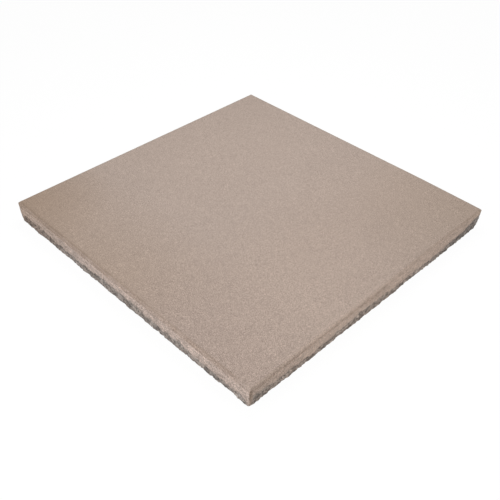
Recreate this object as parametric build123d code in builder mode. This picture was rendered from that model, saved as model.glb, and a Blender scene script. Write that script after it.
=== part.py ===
"""Square concrete paving slab, pressed in one piece from a fine facing mix over a coarser backing mix.

Millimetres, +Z up. The origin is the centre of the underside, the face that lies on the bedding.
"""

import os
from math import radians, tan

from build123d import *

# Size as the slab is sold. Length and width are those of its widest outline, just under the chamfer.
length = 600.0
width = 600.0
thickness = 43.0

# Chamfer round the walking face.
chamfer_width = 2.5
chamfer_drop = 2.5

# The sides lean in towards the underside, so that the slab leaves its mould:
# a little in the facing mix, and more in the coarse backing mix below it.
facing_depth = 28.0
facing_draft = 1.5
backing_draft = 2.5

# Broken arris round the underside.
arris_width = 0.8
arris_rise = 1.2

# The four corners are nearly sharp at the walking face and more worn towards the underside.
top_corner = 2.0
side_corner = 3.0
layer_corner = 3.5
arris_corner = 7.0
underside_corner = 8.0

# Heights and set-backs from the widest outline that follow from those sizes.
shoulder_height = thickness - chamfer_drop
layer_height = thickness - facing_depth
layer_setback = (shoulder_height - layer_height) * tan(radians(facing_draft))
arris_setback = layer_setback + (layer_height - arris_rise) * tan(radians(backing_draft))
underside_setback = arris_setback + arris_width

# Outlines of the slab from the underside up: height, set-back and corner radius.
outlines = [
    (0.0, underside_setback, underside_corner),
    (arris_rise, arris_setback, arris_corner),
    (layer_height, layer_setback, layer_corner),
    (shoulder_height, 0.0, side_corner),
    (thickness, chamfer_width, top_corner),
]

with BuildPart() as slab:
    for height, setback, corner in outlines:
        with BuildSketch(Plane.XY.offset(height)):
            RectangleRounded(length - 2 * setback, width - 2 * setback, corner)
    loft(ruled=True)

slab.part.label = "slab"

os.makedirs("parts", exist_ok=True)
export_step(slab.part, "parts/slab.step")
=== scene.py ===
"""Square paving slab of pressed concrete: a fine taupe facing mix over a coarse grey backing mix.

Lengths are in millimetres unless a comment says metres, with +Z up and the origin at the centre of the
underside. Seen from the camera, the -Y side of the slab is at the front left and the +X side at the front
right, so three of its corners are called left (-X -Y), front (+X -Y) and right (+X +Y).
"""

from math import cos, radians, sin, tan

import bpy
import numpy as np
from mathutils import Matrix, Vector, noise


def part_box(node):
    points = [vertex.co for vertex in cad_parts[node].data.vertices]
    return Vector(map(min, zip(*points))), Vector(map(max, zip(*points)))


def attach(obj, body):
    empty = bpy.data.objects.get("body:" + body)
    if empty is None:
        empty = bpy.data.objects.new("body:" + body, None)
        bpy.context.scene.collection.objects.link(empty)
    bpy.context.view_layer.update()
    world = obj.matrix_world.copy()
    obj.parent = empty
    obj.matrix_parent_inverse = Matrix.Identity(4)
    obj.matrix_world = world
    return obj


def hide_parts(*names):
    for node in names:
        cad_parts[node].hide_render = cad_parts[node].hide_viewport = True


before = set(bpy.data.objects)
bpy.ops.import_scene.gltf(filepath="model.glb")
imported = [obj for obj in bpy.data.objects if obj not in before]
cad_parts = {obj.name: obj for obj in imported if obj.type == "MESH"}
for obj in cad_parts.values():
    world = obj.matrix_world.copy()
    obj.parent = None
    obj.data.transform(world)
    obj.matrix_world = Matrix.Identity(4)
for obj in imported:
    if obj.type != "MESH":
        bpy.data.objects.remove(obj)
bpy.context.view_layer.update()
slab_low, slab_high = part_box("slab")

MM = 0.001

# Size of the slab, from the frame.
half = (slab_high.x - slab_low.x) / 2 / MM
thickness = (slab_high.z - slab_low.z) / MM
perimeter = 8 * half
left_corner = (-half, -half)
front_corner = (half, -half)
right_corner = (half, half)

# Section of the edge: the chamfer, two drafts that meet at the layer line, and the broken arris at the foot.
chamfer_width = 2.5
chamfer_drop = 2.5
facing_depth = 28.0
facing_draft = radians(1.5)
backing_draft = radians(2.5)
arris_width = 0.8
arris_rise = 1.2
shoulder_height = thickness - chamfer_drop
layer_height = thickness - facing_depth
layer_setback = (shoulder_height - layer_height) * tan(facing_draft)
arris_setback = layer_setback + (layer_height - arris_rise) * tan(backing_draft)
underside_setback = arris_setback + arris_width

# Corner radii, nearly sharp at the top and more worn below.
face_radius = 1.2
shoulder_radius = 0.8
layer_radius = 1.2
arris_radius = 4.0
underside_radius = 5.0

# Mesh divisions: columns along each side, and rows down each stretch of the edge.
columns = 448
around = 4 * columns
rim_rows, chamfer_rows, facing_rows, backing_rows, arris_rows = 1, 3, 17, 11, 2
rim_row = rim_rows
shoulder_row = rim_row + chamfer_rows

# Outlines of the slab from the walking face down: set-back, height, corner radius and rows to the next one.
# The first one lies just inside the rim, so that the rim stays crisp.
rim_band = 0.8
face_setback = chamfer_width + rim_band
outlines = [
    (face_setback, thickness, face_radius, rim_rows),
    (chamfer_width, thickness, face_radius, chamfer_rows),
    (0.0, shoulder_height, shoulder_radius, facing_rows),
    (layer_setback, layer_height, layer_radius, backing_rows),
    (arris_setback, arris_rise, arris_radius, arris_rows),
    (underside_setback, 0.0, underside_radius, 0),
]

# Inside the edge, a large face has a ring of half as many points, and then a grid of a quarter as many.
ring_inset = 2.5
grid_inset = 6.0
ring_columns = columns // 2
grid = columns // 4

# Height of the line between the two mixes, by the distance round the edge from the left corner.
# The -Y side comes first and the +X side next; at the front corner the facing mix runs right down.
# The whole line is lifted a little, and it is less ragged towards the right corner.
layer_heights = [
    (0, 14), (30, 19), (90, 18), (120, 15), (170, 16), (220, 15), (250, 18), (340, 21), (365, 17),
    (415, 15), (450, 21), (480, 14), (550, 12), (580, 15), (590, 12), (597, 3), (603, 2), (608, 23),
    (635, 19), (670, 14), (710, 13), (730, 10), (770, 13), (865, 19), (930, 12), (1080, 13), (1110, 15),
    (1150, 17), (1180, 27), (1200, 29), (1300, 14), (1700, 17), (2100, 12),
]
layer_lift = 0.7
layer_calm = 0.7

# Lower corners that are knocked off: the corner's side in X and Y, and how far the break runs along and up.
worn_corners = [(1, 1, 14.0, 16.0), (1, -1, 4.0, 5.0), (-1, -1, 6.0, 9.0), (-1, 1, 6.0, 6.0)]

# The walking face sags a little towards the right corner: how far at the corner, and from how far off.
right_sag = 2.0
right_sag_reach = 130.0

# Lines along the top of the edge, mostly dark, and on the +X side a pale one that is a painted highlight:
# their strength in the rows at and beside the rim and the shoulder.
line_rows = [rim_row - 1, rim_row, rim_row + 1, shoulder_row - 1, shoulder_row, shoulder_row + 1]
wide_line = [0.43, 0.49, 0.34, 0.03, 0.16, 0.0]
narrow_line = [0.14, 0.42, 0.44, 0.10, 0.04, 0.0]
right_line = [0.0, 0.08, 0.30, 0.32, 0.34, 0.0]
painted_highlight_line = [0.16, 0.16, 0.04, 0.0, 0.0, 0.0]

# Layout of the UV map, in shares of its side: the two large faces as squares,
# and the four sides as strips one above the other.
walking_square = (0.005, 0.005, 0.66)
bedding_square = (0.68, 0.005, 0.315)
strip_left, strip_foot, strip_length = 0.005, 0.68, 0.99
strip_height, strip_pitch = 0.075, 0.079

# Noise: how fast its finer octaves weaken and how much finer each is, and the range that most of a noise
# texture lies in.
octave_falloff, octave_step = 1.0, 2.0
noise_span = (0.25, 0.75)

# Soft lamps: name, place and diameter in metres, and power in watts. The world's light is a strength.
lamps = [
    ("overhead", (-0.15, 0.2, 0.85), 0.6, 3.5),
    ("front", (0.2, -1.2, 0.55), 0.8, 6.5),
    ("right", (2.0, 0.6, 0.9), 1.4, 11.5),
]
world_light = 0.36

# The floor: half its side, its level, and the colour that bounces light. Where it is seen, a dark colour
# takes the shadow and a glow makes it white.
floor_reach = 6000.0
floor_level = -0.2
floor_bounce = (0.8, 0.8, 0.8, 1.0)
floor_seen = (0.06, 0.06, 0.06, 1.0)
floor_glow = 0.955

# The camera, worked out from the slab's corners in the photograph: its lens in pixels of the square frame,
# where it stands round the middle of the slab, and how it is turned.
frame_pixels = 500
focal_pixels = 709.17
camera_azimuth, camera_elevation, camera_distance = radians(44.522), radians(37.394), 1310.2
camera_yaw, camera_pitch, camera_roll = radians(44.491), radians(40.281), radians(1.089)


def square_ring(count):
    """Points round a square of half-side 1, that many to a side, from its left corner."""
    step = np.linspace(-1, 1, count, endpoint=False)
    one = np.ones(count)
    return np.concatenate([
        np.stack([step, -one], 1),
        np.stack([one, step], 1),
        np.stack([-step, one], 1),
        np.stack([-one, -step], 1),
    ])


def rounded_ring(count, half_side, radius):
    """The same ring at its real size with rounded corners, and the direction outwards at each point."""
    sharp = square_ring(count) * half_side
    centre = np.clip(sharp, radius - half_side, half_side - radius)
    outward = sharp - centre
    outward /= np.linalg.norm(outward, axis=1)[:, None]
    return centre + radius * outward, outward


def fractal(points, size, octaves, shift, depth=1.0):
    """Smooth noise at the points, about -depth to depth; its features' size may differ by axis."""
    spots = points / np.asarray(size) + shift
    return depth * np.array([
        noise.fractal(Vector(spot), octave_falloff, octave_step, octaves) for spot in spots.tolist()])


def grains(points, size, shift, depth):
    """Distance to the nearest of many scattered grains of that size, from 0 to about the depth."""
    spots = points / size + shift
    return depth * np.array([noise.voronoi(Vector(spot))[0][0] for spot in spots.tolist()])


def ramp(values, span):
    """0 up to the span's start, 1 from its end, and smooth between them; the end may be the lower one."""
    start, end = span
    share = np.clip((values - start) / (end - start), 0, 1)
    return share * share * (3 - 2 * share)


def hump(values, middle, reach):
    """1 at the middle, and less and less on both sides of it."""
    return np.exp(-((values - middle) / reach) ** 2)


def in_plan(points):
    """The points at height 0, for noise that is the same all the way up."""
    return points * (1, 1, 0)


def plan_distance(points, corner):
    """Distance in plan from the points to a corner."""
    return np.hypot(points[:, 0] - corner[0], points[:, 1] - corner[1])


def edge_rows():
    """Set-back, height, corner radius and the section's normal (out, up) for each row of the edge."""
    rows = []
    for (*upper, count), (*lower, _) in zip(outlines, outlines[1:]):
        for share in np.linspace(0, 1, count, endpoint=False):
            rows.append([a + (b - a) * share for a, b in zip(upper, lower)])
    *underside, _ = outlines[-1]
    rows = np.array(rows + [underside])
    fall = np.gradient(rows[:, :2], axis=0)
    normal = np.stack([-fall[:, 1], -fall[:, 0]], 1)
    return rows, normal / np.linalg.norm(normal, axis=1)[:, None]


def plain_edge():
    """Points of the edge without relief, row by row, and the directions outwards at them and in plan."""
    points, outwards, facings = [], [], []
    for (setback, height, radius), (out, up) in zip(*edge_rows()):
        ring, facing = rounded_ring(columns, half - setback, radius)
        points.append(np.column_stack([ring, np.full(around, height)]))
        outwards.append(np.column_stack([facing * out, np.full(around, up)]))
        facings.append(facing)
    return np.concatenate(points), np.concatenate(outwards), np.concatenate(facings)


def layer_line(points, way):
    """Height of the ragged line between the two mixes at points of the edge; calmer near the right corner."""
    ways, heights = zip(*layer_heights)
    drawn = np.interp(way, ways, heights, period=perimeter) + layer_lift
    ragged = fractal(in_plan(points), size=15.0, octaves=3, shift=7.7, depth=3.0)
    ragged += fractal(points, size=7.0, octaves=3, shift=3.1, depth=4.0)
    calm = layer_calm * ramp(points[:, 0] + points[:, 1], (half, 2 * half))
    return drawn + ragged * (1 - calm)


def walking_relief(points):
    """Faint hollows of the walking face, below its plane."""
    mean_depth = 0.08
    broad = fractal(points, size=55.0, octaves=2, shift=4.2, depth=0.08)
    narrow = fractal(points, size=15.0, octaves=3, shift=6.1, depth=0.05)
    return np.clip(mean_depth + broad + narrow, 0, None)


def bedding_relief(points):
    """Coarse hollows of the underside, above its plane."""
    mean_depth = 0.5
    return np.clip(mean_depth + fractal(points, size=16.0, octaves=4, shift=8.3, depth=0.9), 0, None)


def edge_relief(points, side, backing):
    """How far the edge lies below its plain section, by the shares of side and of backing mix."""
    # The facing mix is smooth with faint upright drag marks, the backing mix is open and coarse.
    smooth_depth, coarse_depth = 0.12, 0.1
    drag = fractal(points, size=(3.5, 3.5, 22.0), octaves=2, shift=1.3, depth=0.06)
    skin = fractal(points, size=8.0, octaves=3, shift=5.9, depth=0.25)
    lumps = fractal(points, size=7.0, octaves=3, shift=9.4, depth=0.7)
    stones = grains(points, size=5.0, shift=2.6, depth=0.6)
    smooth = smooth_depth + drag + skin
    coarse = coarse_depth + lumps + stones
    relief = np.clip(smooth * (1 - backing) + coarse * backing, 0, None)

    # Nicks in the rim of the walking face.
    nick_depth, nick_span = 0.5, (0.3, 0.75)
    nicks = nick_depth * ramp(fractal(points, size=11.0, octaves=2, shift=12.8), nick_span)
    nicks *= hump(points[:, 2], middle=shoulder_height, reach=2.0)
    return relief * side + walking_relief(points) * (1 - side) + nicks


def foot_moves(points, outwards, height):
    """Moves that make the foot ragged: bits that stand out, and notches, more so at the front corner."""
    foot_span = (5.0, 0.5)
    plan = in_plan(points)
    front = plan_distance(points, front_corner)

    # The foot stands out more on the +X side, away from the front corner, and stays inside the slab's square.
    bulge, right_bulge = 0.1, 0.3
    bulge_span, front_clear = (200, 300), (100, 300)
    deepest, clearance = -1.2, 0.05
    room = half - np.abs(points[:, :2]).max(1)
    bits = bulge + right_bulge * ramp(points[:, 0] * ramp(front, front_clear), bulge_span)
    bits += fractal(plan, size=28.0, octaves=2, shift=6.6)
    bits += fractal(plan, size=6.0, octaves=3, shift=15.2, depth=1.2)
    bits = np.clip(bits, deepest, room - clearance)

    notch_start, notch_limit = 0.4, 3.0
    front_rise, front_reach = 0.4, (200, 0)
    notches = fractal(plan, size=5.0, octaves=3, shift=11.6, depth=1.8) - notch_start
    rise = np.clip(notches, 0, notch_limit) + front_rise * ramp(front, front_reach)
    return np.column_stack([outwards[:, :2] * bits[:, None], rise]) * ramp(height, foot_span)[:, None]


def edge_lines_and_painted_light(points, height, row, minus_y, plus_x, patches):
    """Dark lines along the rim and the shoulder, painted shade down the front corner, and a painted highlight
    on the +X rim; a negative share is paler.
    """
    across, along = points[:, 0], points[:, 1]
    front = plan_distance(points, front_corner)
    wide, narrow, right, pale = (
        np.interp(row, line_rows, line) for line in (wide_line, narrow_line, right_line, painted_highlight_line))

    # Each span runs from where there is none of a line to where there is all of it. The left line is on every
    # side but the +X one, and is wide near the left corner.
    wide_span, left_front_clear = (180, -150), (8, 40)
    left = narrow + (wide - narrow) * minus_y * ramp(across, wide_span)
    left *= patches * ramp(front, left_front_clear)

    right_share, right_span = 0.75, (0, 180)
    faded_share, faded_span = 0.25, (240, 270)
    right *= patches * (right_share * ramp(along, right_span) - faded_share * ramp(along, faded_span))

    # The pale line is a painted highlight along the +X rim, on the half towards the front corner but clear of
    # it.
    pale_span, pale_front_clear = (60, -60), (40, 90)
    pale *= ramp(along, pale_span) * ramp(front, pale_front_clear)

    # Painted shade down the +X side of the front corner.
    corner_share, corner_least = 0.8, 0.4
    corner_span, corner_top, corner_foot = (10, 1), (40, 37), (8, 25)
    corner = corner_share * ramp(along + half, corner_span) * ramp(height, corner_top)
    corner *= corner_least + (1 - corner_least) * ramp(height, corner_foot)
    return left * (1 - plus_x) + (right - pale + corner) * plus_x


def painted_shoulder_shade(points, height, minus_y):
    """Painted shade: a brown band below the shoulder; away from the -Y side it is lower and weaker, with one
    spot.
    """
    across, along = points[:, 0], points[:, 1]
    left_fade, left_fade_span = 0.35, (170, 260)
    right_share, right_fade, right_fade_span = 0.85, 0.6, (-15, 25)
    spot_share = 0.8
    left = hump(height, middle=38.5, reach=4.0) * (1 - left_fade * ramp(across, left_fade_span))
    right = hump(height, middle=34.5, reach=3.0) * (right_share - right_fade * ramp(along, right_fade_span))
    spot = spot_share * hump(along, middle=-28.0, reach=28.0) * hump(height, middle=31.0, reach=5.0)
    return left * minus_y + np.maximum(right, spot) * (1 - minus_y)


def edge_mesh():
    """Points of the edge, row by row, and the values that its material reads at them."""
    points, outwards, facing = plain_edge()
    rows = len(points) // around
    height = points[:, 2]
    row = np.repeat(np.arange(rows), around)
    way = np.tile(np.arange(around) * (2 * half / columns), rows)

    side_span, backing_span, smeared_span = (0.0, 1.2), (-1.0, 1.5), (1.0, 5.5)
    side = ramp(thickness - height, side_span)
    below_layer = layer_line(points, way) - height
    backing = ramp(below_layer, backing_span)
    points = points - outwards * edge_relief(points, side, backing)[:, None]
    points += foot_moves(points, outwards, height)

    turn_span, patch_span, patch_least = (0.3, 0.9), (-0.6, 0.4), 0.6
    minus_y = ramp(-facing[:, 1], turn_span)
    plus_x = ramp(facing[:, 0], turn_span)
    patches = ramp(fractal(points, size=30.0, octaves=3, shift=4.4), patch_span)
    patches = patch_least + (1 - patch_least) * patches

    # The depth below the layer line, and shares of the other things.
    values = {
        "below_layer": below_layer,
        "side": side,
        "smeared": ramp(thickness - height, smeared_span),
        "minus_y": minus_y,
        # The band below the shoulder is painted shade; the lines hold painted shade down the front corner and
        # a painted highlight on the +X rim.
        "painted_shoulder_shade": painted_shoulder_shade(points, height, minus_y) * side * patches,
        "line_and_painted_light": edge_lines_and_painted_light(points, height, row, minus_y, plus_x, patches),
    }
    return points, values


def face_mesh(setback, height):
    """Grid of a large face, with its points in the order of their rows."""
    line = np.linspace(-1, 1, grid + 1) * (half - setback)
    across, along = np.meshgrid(line, line)
    return np.column_stack([across.ravel(), along.ravel(), np.full(across.size, height)])


def face_border():
    """Point numbers round the border of a large face's grid, from its left corner."""
    number = np.arange((grid + 1) ** 2).reshape(grid + 1, grid + 1)
    return np.concatenate([
        number[0, :-1], number[:-1, -1], number[-1, :0:-1], number[:0:-1, 0],
    ])


def face_line(points, is_ring, setback):
    """The dark line's share on the walking face: on its ring along the -Y side, more to the left."""
    middle_share, middle_span = 0.05, (150, 0)
    left_share, left_span = 0.07, (-60, -200)
    ring_reach = 2 * ring_inset
    line_share = middle_share * ramp(points[:, 0], middle_span) + left_share * ramp(points[:, 0], left_span)
    return np.where(is_ring & (points[:, 1] < setback + ring_reach - half), line_share, 0.0)


def large_face(setback, height, radius):
    """Points of a large face inside the edge, a ring and then a grid, and the values its material reads."""
    ring, _ = rounded_ring(ring_columns, half - setback - ring_inset, radius)
    ring = np.column_stack([ring, np.full(len(ring), height)])
    points = np.concatenate([ring, face_mesh(setback + grid_inset, height)])
    is_top = height > 0
    is_ring = np.arange(len(points)) < len(ring)
    none = np.zeros(len(points))
    values = {
        "below_layer": none - thickness if is_top else none + thickness,
        "side": none,
        "smeared": none,
        "minus_y": none if is_top else none + 1,
        "painted_shoulder_shade": none,
        "line_and_painted_light": face_line(points, is_ring, setback) if is_top else none,
    }
    points[:, 2] += -walking_relief(points) if is_top else bedding_relief(points)
    return points, values


def worn(points):
    """The points with the slab's lower corners knocked off, along a ragged plane each."""
    ragged_reach = 3.0
    for across, along, run, rise in worn_corners:
        normal = np.array([across, along, -run / rise])
        length = np.linalg.norm(normal)
        normal /= length
        depth = (points - (across * half, along * half, 0)) @ normal + run / length
        near = depth > -ragged_reach
        depth[near] += fractal(points[near], size=6.0, octaves=3, shift=2.2, depth=1.2)
        points = points - normal * np.clip(depth, 0, None)[:, None]
    return points


def sagged(points):
    """The points with the walking face lower towards the right corner."""
    share = np.clip(1 - plan_distance(points, right_corner) / right_sag_reach, 0, 1)
    return points * np.column_stack([np.ones((len(points), 2)), 1 - right_sag / thickness * share])


def strip(outer, inner):
    """Triangles between a ring and one of half as many points inside it, seen from above."""
    following = np.roll(inner, -1)
    first, middle, last = outer[0::2], outer[1::2], np.roll(outer, -2)[0::2]
    return np.concatenate([
        np.stack([inner, first, middle], 1),
        np.stack([inner, middle, following], 1),
        np.stack([following, middle, last], 1),
    ])


def edge_faces(rows):
    """Quads of the edge, and where their corners lie in the UV map."""
    ring = np.arange(around)
    faces, places = [], []
    start = strip_left + ring % columns / columns * strip_length
    end = start + strip_length / columns
    foot = strip_foot + ring // columns * strip_pitch
    for row in range(rows - 1):
        upper, lower = ring + row * around, ring + (row + 1) * around
        faces.append(np.stack([upper, lower, np.roll(lower, -1), np.roll(upper, -1)], 1))
        above, below = (foot + (1 - r / (rows - 1)) * strip_height for r in (row, row + 1))
        corners = [(start, above), (start, below), (end, below), (end, above)]
        places.append(np.stack([np.stack(corner, 1) for corner in corners], 1))
    return np.concatenate(faces), np.concatenate(places)


def face_sheets(outer, first, is_top):
    """Triangles and quads that close a large face inside the edge's ring, from its first point number."""
    ring_count = 4 * ring_columns
    ring = first + np.arange(ring_count)
    number = first + ring_count + np.arange((grid + 1) ** 2).reshape(grid + 1, grid + 1)
    quads = np.stack([number[:-1, :-1], number[:-1, 1:], number[1:, 1:], number[1:, :-1]], 2).reshape(-1, 4)
    sheets = [strip(outer, ring), strip(ring, first + ring_count + face_border()), quads]
    return sheets if is_top else [sheet[:, ::-1] for sheet in sheets]


def build_slab():
    """The slab as one closed mesh."""
    edge, edge_values = edge_mesh()
    rows = len(edge) // around
    walking, walking_values = large_face(face_setback, thickness, face_radius)
    bedding, bedding_values = large_face(underside_setback, 0.0, underside_radius)
    points = sagged(worn(np.concatenate([edge, walking, bedding])))
    values = {name: np.concatenate([edge_values[name], walking_values[name], bedding_values[name]])
              for name in edge_values}

    faces, places = edge_faces(rows)
    faces, places = faces.tolist(), [places.reshape(-1, 2)]
    rim = np.arange(around)
    foot = rim + (rows - 1) * around
    first = len(edge)
    for outer, (left, lower, size), is_top in ((rim, walking_square, True), (foot, bedding_square, False)):
        for sheet in face_sheets(outer, first, is_top):
            faces += sheet.tolist()
            places.append((left, lower) + (points[sheet.ravel(), :2] / half + 1) / 2 * size)
        first += len(walking)

    mesh = bpy.data.meshes.new("paving_slab")
    mesh.from_pydata((points * MM).tolist(), [], faces)
    mesh.uv_layers.new(name="OFBake").data.foreach_set("uv", np.concatenate(places).ravel())
    for name, value in values.items():
        mesh.attributes.new(name, "FLOAT", "POINT").data.foreach_set("value", value.astype(np.float32))
    mesh.shade_smooth()
    mesh.validate()
    slab = bpy.data.objects.new("paving_slab", mesh)
    bpy.context.collection.objects.link(slab)
    return slab


def shade(red, green, blue):
    """A colour written as 0 to 255 on the screen, as the light it reflects by the sRGB curve."""
    parts = [part / 255 for part in (red, green, blue)]
    return tuple(p / 12.92 if p <= 0.04045 else ((p + 0.055) / 1.055) ** 2.4 for p in parts) + (1.0,)


# Colours of the walking face, of its darker band along the -Y edge, and of the sides.
face_left, face_right = shade(179, 162, 151), shade(180, 162, 150)
front_edge_left, front_edge_right = shade(173, 154, 140), shade(173, 155, 144)
side_left, side_right = shade(181, 164, 154), shade(188, 168, 154)

# Browns of the dark line along the rim, of the painted shade in the band below it, and of the left and right
# corners.
line_brown, shoulder_shade_brown = shade(164, 142, 124), shade(161, 141, 127)
left_brown, right_brown = shade(166, 145, 128), shade(175, 154, 132)

# Colours of the backing mix: grey on the -Y side and at the right corner, brown at the left one, else warm.
grey_dark, grey_pale = shade(136, 124, 115), shade(160, 152, 147)
warm_dark, warm_pale = shade(151, 136, 124), shade(175, 163, 154)
backing_brown = shade(151, 133, 121)


def add(tree, kind, inputs=None, **settings):
    """A new node with its settings; each input is a value, or the output that it takes its value from."""
    made = tree.nodes.new(kind)
    for name, value in settings.items():
        setattr(made, name, value)
    for name, value in (inputs or {}).items():
        if isinstance(value, bpy.types.NodeSocket):
            tree.links.new(value, made.inputs[name])
        else:
            made.inputs[name].default_value = value
    return made


def compute(tree, operation, *values):
    """One step of arithmetic on numbers or outputs."""
    return add(tree, "ShaderNodeMath", dict(enumerate(values)), operation=operation).outputs["Value"]


def product(tree, *tones):
    """All the tones multiplied."""
    result = tones[0]
    for tone in tones[1:]:
        result = compute(tree, "MULTIPLY", result, tone)
    return result


def blend(tree, share, first, second):
    """From the first number to the second by the share."""
    inputs = {"Factor": share, "A": first, "B": second}
    return add(tree, "ShaderNodeMix", inputs, data_type="FLOAT").outputs["Result"]


def tint(tree, share, first, second):
    """From the first colour to the second by the share."""
    inputs = {"Factor": share, "A": first, "B": second}
    return add(tree, "ShaderNodeMix", inputs, data_type="RGBA").outputs["Result"]


def spread(tree, value, span, to=(0.0, 1.0)):
    """The value moved from one range to another, and held inside it."""
    inputs = {"Value": value, "From Min": span[0], "From Max": span[1], "To Min": to[0], "To Max": to[1]}
    return add(tree, "ShaderNodeMapRange", inputs).outputs["Result"]


def cloud(tree, place, size, detail=2.0):
    """Noise with features of that size."""
    inputs = {"Vector": place, "Scale": 1 / size, "Detail": detail}
    return add(tree, "ShaderNodeTexNoise", inputs).outputs["Fac"]


def wave(tree, place, size, amount, middle=0.0):
    """Noise with features of that size, which wavers about the middle by that amount."""
    return spread(tree, cloud(tree, place, size), noise_span, (middle - amount, middle + amount))


def grain_tones(tree, place, size, tones, rare=0.0):
    """A tone for each of many close grains of that size; a rare share of them keeps the first one."""
    cells = add(tree, "ShaderNodeTexVoronoi", {"Vector": place, "Scale": 1 / size})
    drawn = add(tree, "ShaderNodeSeparateColor", {"Color": cells.outputs["Color"]}).outputs["Red"]
    return spread(tree, drawn, (rare, 1.0), tones)


def stretched(tree, place, scale):
    """The place scaled along each axis, for noise that is drawn out where the scale is small."""
    return add(tree, "ShaderNodeMapping", {"Vector": place, "Scale": scale}).outputs["Vector"]


def away_from(tree, place, corner):
    """Distance from a corner of the walking face."""
    ends = {0: place, 1: (*corner, thickness)}
    return add(tree, "ShaderNodeVectorMath", ends, operation="DISTANCE").outputs["Value"]


def axes(tree, place):
    """The place's three coordinates by their letters."""
    return add(tree, "ShaderNodeSeparateXYZ", {"Vector": place}).outputs


def attribute(tree, name):
    """A value that the mesh holds at its points."""
    return add(tree, "ShaderNodeAttribute", attribute_name=name).outputs["Fac"]


def facing_colour(tree, place, left_near, right_near):
    """Taupe of the facing mix, darker along the -Y edge and browner at the left and right corners, with brown
    painted shade below the shoulder and brown lines along the edges, partly painted shade.
    """
    right_span, front_span = (0, 150), (-120, -290)
    left_side_share, right_share = 0.6, 0.25
    side = attribute(tree, "side")
    to_right = spread(tree, axes(tree, place)["X"], right_span)
    to_front = spread(tree, axes(tree, place)["Y"], front_span)
    top = tint(tree, to_right, face_left, face_right)
    top = tint(tree, to_front, top, tint(tree, to_right, front_edge_left, front_edge_right))
    flank = tint(tree, attribute(tree, "minus_y"), side_right, side_left)
    # The brown band below the shoulder is painted shade.
    flank = tint(tree, attribute(tree, "painted_shoulder_shade"), flank, shoulder_shade_brown)
    colour = tint(tree, side, top, flank)
    colour = tint(tree, product(tree, left_near, blend(tree, side, 1.0, left_side_share)), colour, left_brown)
    colour = tint(tree, product(tree, right_near, right_share), colour, right_brown)
    return tint(tree, attribute(tree, "line_and_painted_light"), colour, line_brown)


def side_tone(tree, place):
    """Upright drag marks, drawn-out smears, scuffs and broad bands of the sides; most on the -Y side."""
    upright = stretched(tree, place, scale=(1.0, 1.0, 0.12))
    lengthwise = stretched(tree, place, scale=(0.35, 0.35, 1.0))
    right_smears, left_smears = 0.9, 1.45
    drag = wave(tree, upright, size=3.0, amount=0.06)
    smears = wave(tree, lengthwise, size=5.0, amount=0.18)
    scuffs = wave(tree, place, size=3.0, amount=0.22)
    bands = wave(tree, place, size=45.0, amount=0.08)
    smears = compute(tree, "ADD", smears, scuffs)
    smears = product(tree, smears, blend(tree, attribute(tree, "minus_y"), right_smears, left_smears))
    wear = compute(tree, "ADD", compute(tree, "ADD", drag, smears), bands)
    return compute(tree, "MULTIPLY_ADD", wear, attribute(tree, "smeared"), 1.0)


def facing_tone(tree, place, sand, right_near):
    """Light and dark of the facing mix: fine sand and faint clouds, paler and coarser to the front."""
    coarse_span, coarse_tones = (400, 100), (1.0, 1.45)
    sand_span, sand_tones = (0.2, 0.8), (-0.66, 0.66)
    pale_across, pale_along, pale_tone = (50, 250), (100, -100), 1.075
    line_span, line_tones = (-1.0, 1.0), (1.4, 0.6)
    right_tone = 0.94
    coarse = spread(tree, away_from(tree, place, front_corner), coarse_span, coarse_tones)
    sandy = compute(tree, "MULTIPLY_ADD", spread(tree, sand, sand_span, sand_tones), coarse, 1.0)
    grain = grain_tones(tree, place, size=1.8, tones=(0.96, 1.03))
    specks = grain_tones(tree, place, size=1.4, tones=(1.0, 1.25), rare=0.88)
    clouds = wave(tree, place, size=70.0, amount=0.015, middle=1.0)
    mottle = wave(tree, place, size=11.0, amount=0.025, middle=1.0)
    pale = product(tree, spread(tree, axes(tree, place)["X"], pale_across),
                   spread(tree, axes(tree, place)["Y"], pale_along))
    paler = blend(tree, pale, 1.0, pale_tone)
    # The lines darken the facing mix. The painted highlight's negative share makes it paler, and down the
    # front corner the darkening is painted shade.
    lines = spread(tree, attribute(tree, "line_and_painted_light"), line_span, line_tones)
    right = blend(tree, right_near, 1.0, right_tone)
    return product(tree, right, sandy, grain, specks, clouds, mottle, paler, lines, side_tone(tree, place))


def backing_colour(tree, place, left_near, right_end):
    """Patchy grey of the backing mix, warm away from the -Y side and the right corner, brown at the left."""
    patch = cloud(tree, place, size=14.0)
    grey = tint(tree, patch, grey_dark, grey_pale)
    warm = tint(tree, patch, warm_dark, warm_pale)
    colour = tint(tree, compute(tree, "MAXIMUM", attribute(tree, "minus_y"), right_end), warm, grey)
    return tint(tree, left_near, colour, backing_brown)


def backing_tone(tree, place):
    """Light and dark of the backing mix: stones and gravel of many tones, grit, and painted shade in
    pinholes.
    """
    pit_span, pit_shade_tones = (0.55, 0.64), (1.0, 0.4)
    stones = grain_tones(tree, place, size=8.0, tones=(0.65, 1.35))
    gravel = grain_tones(tree, place, size=4.0, tones=(0.7, 1.3))
    grit = wave(tree, place, size=2.0, amount=0.35, middle=1.0)
    painted_pit_shade = spread(tree, cloud(tree, place, size=3.5), pit_span, pit_shade_tones)
    return product(tree, stones, gravel, grit, painted_pit_shade)


def darkening_and_painted_shade(tree, backing, left_near, right_end, front_near):
    """Darker backing mix towards the left and right corners, and painted shade on both sides of the front
    one.
    """
    end_tone, front_shade_tone, left_side_share = 0.78, 0.81, 0.5
    end_darkening = product(tree, compute(tree, "MAXIMUM", left_near, right_end), backing)
    side_share = blend(tree, attribute(tree, "minus_y"), 1.0, left_side_share)
    painted_front_shade = product(tree, front_near, attribute(tree, "side"), side_share)
    return product(tree, blend(tree, end_darkening, 1.0, end_tone), blend(tree, painted_front_shade, 1.0, front_shade_tone))


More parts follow.
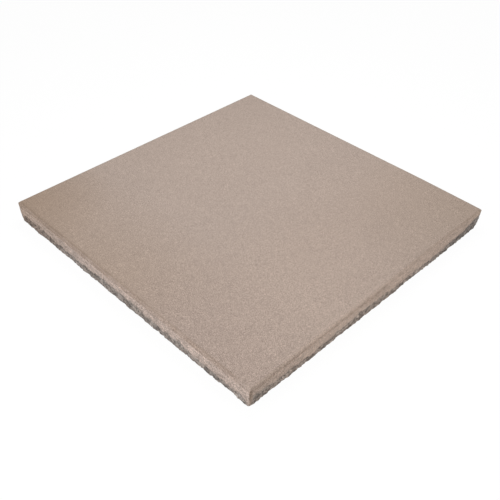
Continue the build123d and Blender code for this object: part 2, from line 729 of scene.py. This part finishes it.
def concrete():
    """Sandy facing mix, and below the layer line the open backing mix with its stones and the painted shade
    of its pinholes.
    """
    material = bpy.data.materials.new("concrete")
    material.use_nodes = True
    tree = material.node_tree
    shader = tree.nodes["Principled BSDF"]
    shader.inputs["Specular IOR Level"].default_value = 0.2
    metres = add(tree, "ShaderNodeTexCoord").outputs["Object"]
    scaled = {"Vector": metres, "Scale": 1 / MM}
    place = add(tree, "ShaderNodeVectorMath", scaled, operation="SCALE").outputs["Vector"]

    # Which mix shows: the layer line, with its fine breaks.
    mix_span = (-1.8, 1.8)
    breaks = wave(tree, place, size=2.5, amount=2.5)
    below = compute(tree, "ADD", attribute(tree, "below_layer"), breaks)
    backing = spread(tree, below, mix_span)

    # How near a place is to the corners: the left and right ones, which are darker and browner, and the front
    # one, where the sides have painted shade. The right one's darkening reaches further on the walking face
    # than along the sides, and its backing mix is darker too.
    left_reach, front_reach, face_reach, side_reach = 170.0, 120.0, 250.0, 80.0
    end_span = (200.0, 60.0)
    left_near = spread(tree, away_from(tree, place, left_corner), (left_reach, 0.0))
    front_near = spread(tree, away_from(tree, place, front_corner), (front_reach, 0.0))
    from_right = away_from(tree, place, right_corner)
    right_reach = blend(tree, attribute(tree, "side"), face_reach, side_reach)
    right_near = spread(tree, from_right, (right_reach, 0.0))
    right_end = spread(tree, from_right, end_span)

    sand = cloud(tree, place, size=0.75, detail=1.0)
    colour = tint(tree, backing, facing_colour(tree, place, left_near, right_near),
                  backing_colour(tree, place, left_near, right_end))
    tone = blend(tree, backing, facing_tone(tree, place, sand, right_near), backing_tone(tree, place))
    # Darker towards the left and right corners, with painted shade beside the front corner.
    tone = product(tree, tone, darkening_and_painted_shade(tree, backing, left_near, right_end, front_near))
    final = add(tree, "ShaderNodeVectorMath", {"Vector": colour, "Scale": tone}, operation="SCALE")
    tree.links.new(final.outputs["Vector"], shader.inputs["Base Color"])
    roughness = wave(tree, place, size=9.0, amount=0.06, middle=0.9)
    tree.links.new(roughness, shader.inputs["Roughness"])

    # Relief finer than the mesh.
    sand_depth, backing_depth = 0.25, 1.4
    sand_relief = product(tree, sand, sand_depth)
    open_relief = product(tree, cloud(tree, place, size=3.5, detail=3.0), backing_depth)
    relief = blend(tree, backing, sand_relief, open_relief)
    bump = add(tree, "ShaderNodeBump", {"Height": relief, "Distance": MM, "Strength": 1.0})
    tree.links.new(bump.outputs["Normal"], shader.inputs["Normal"])
    return material


def seen_directly(tree):
    """1 for what the camera, a reflection or a clear material shows, and 0 for light that falls on things."""
    path = add(tree, "ShaderNodeLightPath").outputs
    mirrored = compute(tree, "MAXIMUM", path["Is Glossy Ray"], path["Is Transmission Ray"])
    return compute(tree, "MAXIMUM", path["Is Camera Ray"], mirrored)


def floor_material():
    """White with the slab's soft shadow where it is seen, and a plain pale bounce for the light."""
    material = bpy.data.materials.new("floor")
    material.use_nodes = True
    tree = material.node_tree
    tree.nodes.clear()
    bounce = add(tree, "ShaderNodeBsdfDiffuse", {"Color": floor_bounce}).outputs["BSDF"]
    shadow = add(tree, "ShaderNodeBsdfDiffuse", {"Color": floor_seen}).outputs["BSDF"]
    glow = add(tree, "ShaderNodeEmission", {"Strength": floor_glow}).outputs["Emission"]
    seen = add(tree, "ShaderNodeAddShader", {0: shadow, 1: glow}).outputs["Shader"]
    swap = add(tree, "ShaderNodeMixShader", {0: seen_directly(tree), 1: bounce, 2: seen}).outputs["Shader"]
    add(tree, "ShaderNodeOutputMaterial", {"Surface": swap})
    return material


def build_floor():
    """A wide plain floor just under the slab."""
    reach, level = floor_reach * MM, floor_level * MM
    corners = [(-reach, -reach, level), (reach, -reach, level), (reach, reach, level), (-reach, reach, level)]
    mesh = bpy.data.meshes.new("floor")
    mesh.from_pydata(corners, [], [(0, 1, 2, 3)])
    mesh.materials.append(floor_material())
    floor = bpy.data.objects.new("floor", mesh)
    bpy.context.collection.objects.link(floor)


def add_world():
    """White where it is seen, and an even soft light on the slab."""
    world = bpy.data.worlds.new("studio")
    bpy.context.scene.world = world
    world.use_nodes = True
    tree = world.node_tree
    background = tree.nodes["Background"]
    background.inputs["Color"].default_value = (1, 1, 1, 1)
    strength = spread(tree, seen_directly(tree), (0.0, 1.0), (world_light, 1.0))
    tree.links.new(strength, background.inputs["Strength"])


def add_lamp(name, place, size, power):
    """A round soft lamp, turned to the middle of the slab."""
    light = bpy.data.lights.new(name, "AREA")
    light.shape = "DISK"
    light.size = size
    light.energy = power
    lamp = bpy.data.objects.new(name, light)
    lamp.location = place
    lamp.rotation_euler = Vector(place).to_track_quat("Z", "Y").to_euler()
    bpy.context.collection.objects.link(lamp)


def direction(turn, tilt):
    """The way from the slab to a point at that angle round from -Y towards +X, and that angle up."""
    return Vector((sin(turn) * cos(tilt), -cos(turn) * cos(tilt), sin(tilt)))


def add_camera():
    """The camera where the photograph was taken from."""
    data = bpy.data.cameras.new("camera")
    data.lens = data.sensor_width * focal_pixels / frame_pixels
    camera = bpy.data.objects.new("camera", data)
    place = direction(camera_azimuth, camera_elevation) * camera_distance
    place.z += thickness / 2
    back = direction(camera_yaw, camera_pitch)
    level_right = Vector((0, 0, 1)).cross(back).normalized()
    level_up = back.cross(level_right)
    right = cos(camera_roll) * level_right + sin(camera_roll) * level_up
    up = cos(camera_roll) * level_up - sin(camera_roll) * level_right
    turn = Matrix((right, up, back)).transposed().to_4x4()
    camera.matrix_world = Matrix.Translation(place * MM) @ turn
    bpy.context.collection.objects.link(camera)
    bpy.context.scene.camera = camera


slab = build_slab()
slab.data.materials.append(concrete())
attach(slab, "root")
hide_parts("slab")
build_floor()
add_world()
for lamp in lamps:
    add_lamp(*lamp)
add_camera()
bpy.context.scene.view_settings.view_transform = "Standard"
